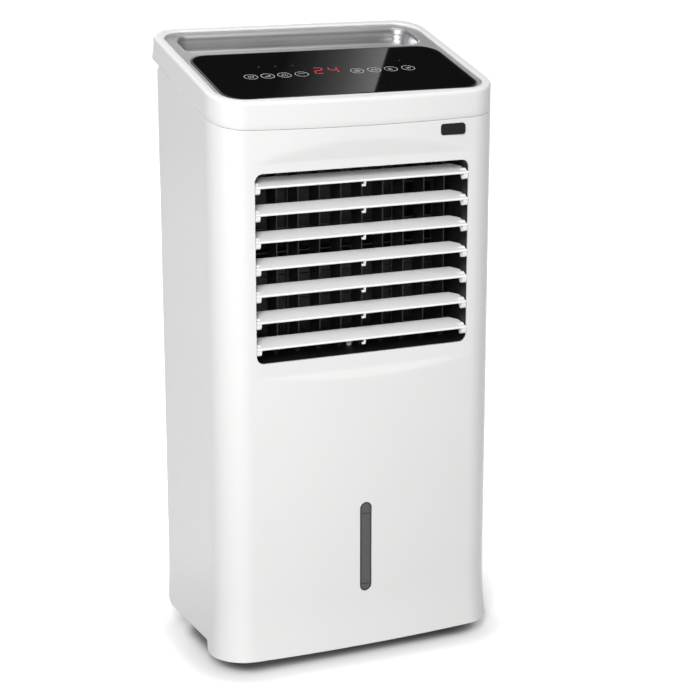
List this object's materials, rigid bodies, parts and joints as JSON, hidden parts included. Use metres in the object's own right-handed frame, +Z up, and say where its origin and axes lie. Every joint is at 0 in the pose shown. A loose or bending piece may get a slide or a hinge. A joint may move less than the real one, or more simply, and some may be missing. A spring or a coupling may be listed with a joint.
{
  "type": "evaporative air cooler",
  "caption": "Free-standing evaporative air cooler with tilted touch panel, swivelling outlet louvres, pull-out water tank, wet pad cassette and casters.",
  "frame": {"origin": "centre of the overall footprint, on the floor", "axes": "+X is the cooler's width, -Y is its front, where the air leaves, +Z is up"},
  "size_m": [0.307, 0.2075, 0.62],
  "materials": {
    "body_white": "satin gloss moulded ABS",
    "inner_white": "matte moulded",
    "louvre_white": "satin",
    "silver_trim": "satin metallised",
    "black_glass": "polished black touch panel",
    "board": "solder-masked board",
    "display": "red numeral display",
    "smoke_lens": "smoked clear window",
    "dark_plastic": "matte black moulded",
    "caster_tread": "grey nylon",
    "steel": "zinc plated",
    "pad_paper": "corrugated cellulose",
    "clear_plastic": "translucent polypropylene",
    "float_red": "matte foam"
  },
  "bodies": {
    "cabinet": {"front_shell": "body_white", "rear_housing": "body_white", "base_tray": "dark_plastic", "mid_deck": "inner_white", "head_ring": "body_white", "head_deck": "inner_white", "trim_insert": "silver_trim", "control_glass": "black_glass", "control_board": "board", "display_led": "display", "power_board": "board", "ir_window": "black_glass", "gauge_window": "smoke_lens", "outlet_frame": "dark_plastic", "swing_motor": "steel", "duct_frame": "dark_plastic", "blower_housing": "dark_plastic", "fan_motor": "steel", "water_distributor": "clear_plastic", "riser_tube": "clear_plastic", "cord_gland": "dark_plastic", "screws": "steel"},
    "louvre_1": {"louvre_1": "louvre_white"},
    "louvre_2": {"louvre_2": "louvre_white"},
    "louvre_3": {"louvre_3": "louvre_white"},
    "louvre_4": {"louvre_4": "louvre_white"},
    "louvre_5": {"louvre_5": "louvre_white"},
    "louvre_6": {"louvre_6": "louvre_white"},
    "louvre_7": {"louvre_7": "louvre_white"},
    "louvre_link": {"louvre_link": "dark_plastic"},
    "vane_1": {"vane_1": "dark_plastic"},
    "vane_2": {"vane_2": "dark_plastic"},
    "vane_3": {"vane_3": "dark_plastic"},
    "vane_4": {"vane_4": "dark_plastic"},
    "vane_5": {"vane_5": "dark_plastic"},
    "vane_6": {"vane_6": "dark_plastic"},
    "vane_7": {"vane_7": "dark_plastic"},
    "vane_8": {"vane_8": "dark_plastic"},
    "vane_9": {"vane_9": "dark_plastic"},
    "vane_10": {"vane_10": "dark_plastic"},
    "vane_link": {"vane_link": "dark_plastic"},
    "swing_crank": {"swing_crank": "inner_white"},
    "blower_wheel": {"blower_wheel": "dark_plastic", "motor_shaft": "steel"},
    "pad_cassette": {"pad_frame": "inner_white", "cooling_pad": "pad_paper", "rear_grille": "body_white", "dust_filter": "dark_plastic"},
    "water_tank": {"water_tank": "clear_plastic", "water_pump": "dark_plastic"},
    "tank_latch": {"tank_latch": "inner_white"},
    "level_float": {"level_float": "float_red"},
    "caster_fork_1": {"caster_fork_1": "dark_plastic"},
    "caster_wheel_1": {"caster_wheel_1": "caster_tread"},
    "caster_fork_2": {"caster_fork_2": "dark_plastic"},
    "caster_wheel_2": {"caster_wheel_2": "caster_tread"},
    "caster_fork_3": {"caster_fork_3": "dark_plastic"},
    "caster_wheel_3": {"caster_wheel_3": "caster_tread"},
    "caster_fork_4": {"caster_fork_4": "dark_plastic"},
    "caster_wheel_4": {"caster_wheel_4": "caster_tread"}
  },
  "joints": [
    {"name": "louvre_1_tilt", "type": "hinge", "parent": "cabinet", "child": "louvre_1", "pos_m": [0, -0.08795, 0.4862], "axis": [1, 0, 0], "range_deg": [-45, 18]},
    {"name": "louvre_2_tilt", "type": "hinge", "parent": "cabinet", "child": "louvre_2", "pos_m": [0, -0.08795, 0.4602], "axis": [1, 0, 0], "range_deg": [-45, 18]},
    {"name": "louvre_3_tilt", "type": "hinge", "parent": "cabinet", "child": "louvre_3", "pos_m": [0, -0.08795, 0.4342], "axis": [1, 0, 0], "range_deg": [-45, 18]},
    {"name": "louvre_4_tilt", "type": "hinge", "parent": "cabinet", "child": "louvre_4", "pos_m": [0, -0.08795, 0.4082], "axis": [1, 0, 0], "range_deg": [-45, 18]},
    {"name": "louvre_5_tilt", "type": "hinge", "parent": "cabinet", "child": "louvre_5", "pos_m": [0, -0.08795, 0.3822], "axis": [1, 0, 0], "range_deg": [-45, 18]},
    {"name": "louvre_6_tilt", "type": "hinge", "parent": "cabinet", "child": "louvre_6", "pos_m": [0, -0.08795, 0.3562], "axis": [1, 0, 0], "range_deg": [-45, 18]},
    {"name": "louvre_7_tilt", "type": "hinge", "parent": "cabinet", "child": "louvre_7", "pos_m": [0, -0.08795, 0.3302], "axis": [1, 0, 0], "range_deg": [-45, 18]},
    {"name": "louvre_link_pin", "type": "hinge", "parent": "louvre_1", "child": "louvre_link", "pos_m": [-0.1085, -0.07448, 0.49019], "axis": [1, 0, 0], "range_deg": [-18, 45]},
    {"name": "vane_1_swing", "type": "hinge", "parent": "cabinet", "child": "vane_1", "pos_m": [-0.10193, -0.05995, 0.40725], "axis": [0, 0, 1], "range_deg": [-24, 24]},
    {"name": "vane_2_swing", "type": "hinge", "parent": "cabinet", "child": "vane_2", "pos_m": [-0.07927, -0.05995, 0.40725], "axis": [0, 0, 1], "range_deg": [-24, 24]},
    {"name": "vane_3_swing", "type": "hinge", "parent": "cabinet", "child": "vane_3", "pos_m": [-0.05663, -0.05995, 0.40725], "axis": [0, 0, 1], "range_deg": [-24, 24]},
    {"name": "vane_4_swing", "type": "hinge", "parent": "cabinet", "child": "vane_4", "pos_m": [-0.03397, -0.05995, 0.40725], "axis": [0, 0, 1], "range_deg": [-24, 24]},
    {"name": "vane_5_swing", "type": "hinge", "parent": "cabinet", "child": "vane_5", "pos_m": [-0.01132, -0.05995, 0.40725], "axis": [0, 0, 1], "range_deg": [-24, 24]},
    {"name": "vane_6_swing", "type": "hinge", "parent": "cabinet", "child": "vane_6", "pos_m": [0.01132, -0.05995, 0.40725], "axis": [0, 0, 1], "range_deg": [-24, 24]},
    {"name": "vane_7_swing", "type": "hinge", "parent": "cabinet", "child": "vane_7", "pos_m": [0.03397, -0.05995, 0.40725], "axis": [0, 0, 1], "range_deg": [-24, 24]},
    {"name": "vane_8_swing", "type": "hinge", "parent": "cabinet", "child": "vane_8", "pos_m": [0.05663, -0.05995, 0.40725], "axis": [0, 0, 1], "range_deg": [-24, 24]},
    {"name": "vane_9_swing", "type": "hinge", "parent": "cabinet", "child": "vane_9", "pos_m": [0.07927, -0.05995, 0.40725], "axis": [0, 0, 1], "range_deg": [-24, 24]},
    {"name": "vane_10_swing", "type": "hinge", "parent": "cabinet", "child": "vane_10", "pos_m": [0.10193, -0.05995, 0.40725], "axis": [0, 0, 1], "range_deg": [-24, 24]},
    {"name": "vane_link_pin", "type": "hinge", "parent": "vane_1", "child": "vane_link", "pos_m": [-0.10193, -0.04595, 0.322], "axis": [0, 0, 1], "range_deg": [-24, 24]},
    {"name": "swing_crank_turn", "type": "hinge", "parent": "cabinet", "child": "swing_crank", "pos_m": [0, -0.05995, 0.318], "axis": [0, 0, 1], "range_deg": [-24, 24]},
    {"name": "blower_spin", "type": "hinge", "parent": "cabinet", "child": "blower_wheel", "pos_m": [0, 0.00405, 0.293], "axis": [0, 1, 0], "continuous": true},
    {"name": "cassette_slide", "type": "slide", "parent": "cabinet", "child": "pad_cassette", "axis": [0, 1, 0], "range_m": [0, 0.06]},
    {"name": "tank_slide", "type": "slide", "parent": "cabinet", "child": "water_tank", "axis": [0, 1, 0], "range_m": [0, 0.16]},
    {"name": "tank_latch_turn", "type": "hinge", "parent": "cabinet", "child": "tank_latch", "pos_m": [0, 0.09875, 0.192], "axis": [0, 1, 0], "range_deg": [0, 90]},
    {"name": "float_rise", "type": "slide", "parent": "water_tank", "child": "level_float", "axis": [0, 0, 1], "range_m": [0, 0.085]},
    {"name": "caster_1_swivel", "type": "hinge", "parent": "cabinet", "child": "caster_fork_1", "pos_m": [-0.115, -0.062, 0.042], "axis": [0, 0, 1], "continuous": true},
    {"name": "caster_1_roll", "type": "hinge", "parent": "caster_fork_1", "child": "caster_wheel_1", "pos_m": [-0.115, -0.053, 0.016], "axis": [1, 0, 0], "continuous": true},
    {"name": "caster_2_swivel", "type": "hinge", "parent": "cabinet", "child": "caster_fork_2", "pos_m": [0.115, -0.062, 0.042], "axis": [0, 0, 1], "continuous": true},
    {"name": "caster_2_roll", "type": "hinge", "parent": "caster_fork_2", "child": "caster_wheel_2", "pos_m": [0.115, -0.053, 0.016], "axis": [1, 0, 0], "continuous": true},
    {"name": "caster_3_swivel", "type": "hinge", "parent": "cabinet", "child": "caster_fork_3", "pos_m": [-0.115, 0.056, 0.042], "axis": [0, 0, 1], "continuous": true},
    {"name": "caster_3_roll", "type": "hinge", "parent": "caster_fork_3", "child": "caster_wheel_3", "pos_m": [-0.115, 0.065, 0.016], "axis": [1, 0, 0], "continuous": true},
    {"name": "caster_4_swivel", "type": "hinge", "parent": "cabinet", "child": "caster_fork_4", "pos_m": [0.115, 0.056, 0.042], "axis": [0, 0, 1], "continuous": true},
    {"name": "caster_4_roll", "type": "hinge", "parent": "caster_fork_4", "child": "caster_wheel_4", "pos_m": [0.115, 0.065, 0.016], "axis": [1, 0, 0], "continuous": true}
  ],
  "couplings": [
    {"joint": "louvre_2_tilt", "follows": "louvre_1_tilt", "ratio": 1},
    {"joint": "louvre_3_tilt", "follows": "louvre_1_tilt", "ratio": 1},
    {"joint": "louvre_4_tilt", "follows": "louvre_1_tilt", "ratio": 1},
    {"joint": "louvre_5_tilt", "follows": "louvre_1_tilt", "ratio": 1},
    {"joint": "louvre_6_tilt", "follows": "louvre_1_tilt", "ratio": 1},
    {"joint": "louvre_7_tilt", "follows": "louvre_1_tilt", "ratio": 1},
    {"joint": "louvre_link_pin", "follows": "louvre_1_tilt", "ratio": -1},
    {"joint": "vane_2_swing", "follows": "vane_1_swing", "ratio": 1},
    {"joint": "vane_3_swing", "follows": "vane_1_swing", "ratio": 1},
    {"joint": "vane_4_swing", "follows": "vane_1_swing", "ratio": 1},
    {"joint": "vane_5_swing", "follows": "vane_1_swing", "ratio": 1},
    {"joint": "vane_6_swing", "follows": "vane_1_swing", "ratio": 1},
    {"joint": "vane_7_swing", "follows": "vane_1_swing", "ratio": 1},
    {"joint": "vane_8_swing", "follows": "vane_1_swing", "ratio": 1},
    {"joint": "vane_9_swing", "follows": "vane_1_swing", "ratio": 1},
    {"joint": "vane_10_swing", "follows": "vane_1_swing", "ratio": 1},
    {"joint": "vane_link_pin", "follows": "vane_1_swing", "ratio": -1},
    {"joint": "swing_crank_turn", "follows": "vane_1_swing", "ratio": 1}
  ]
}
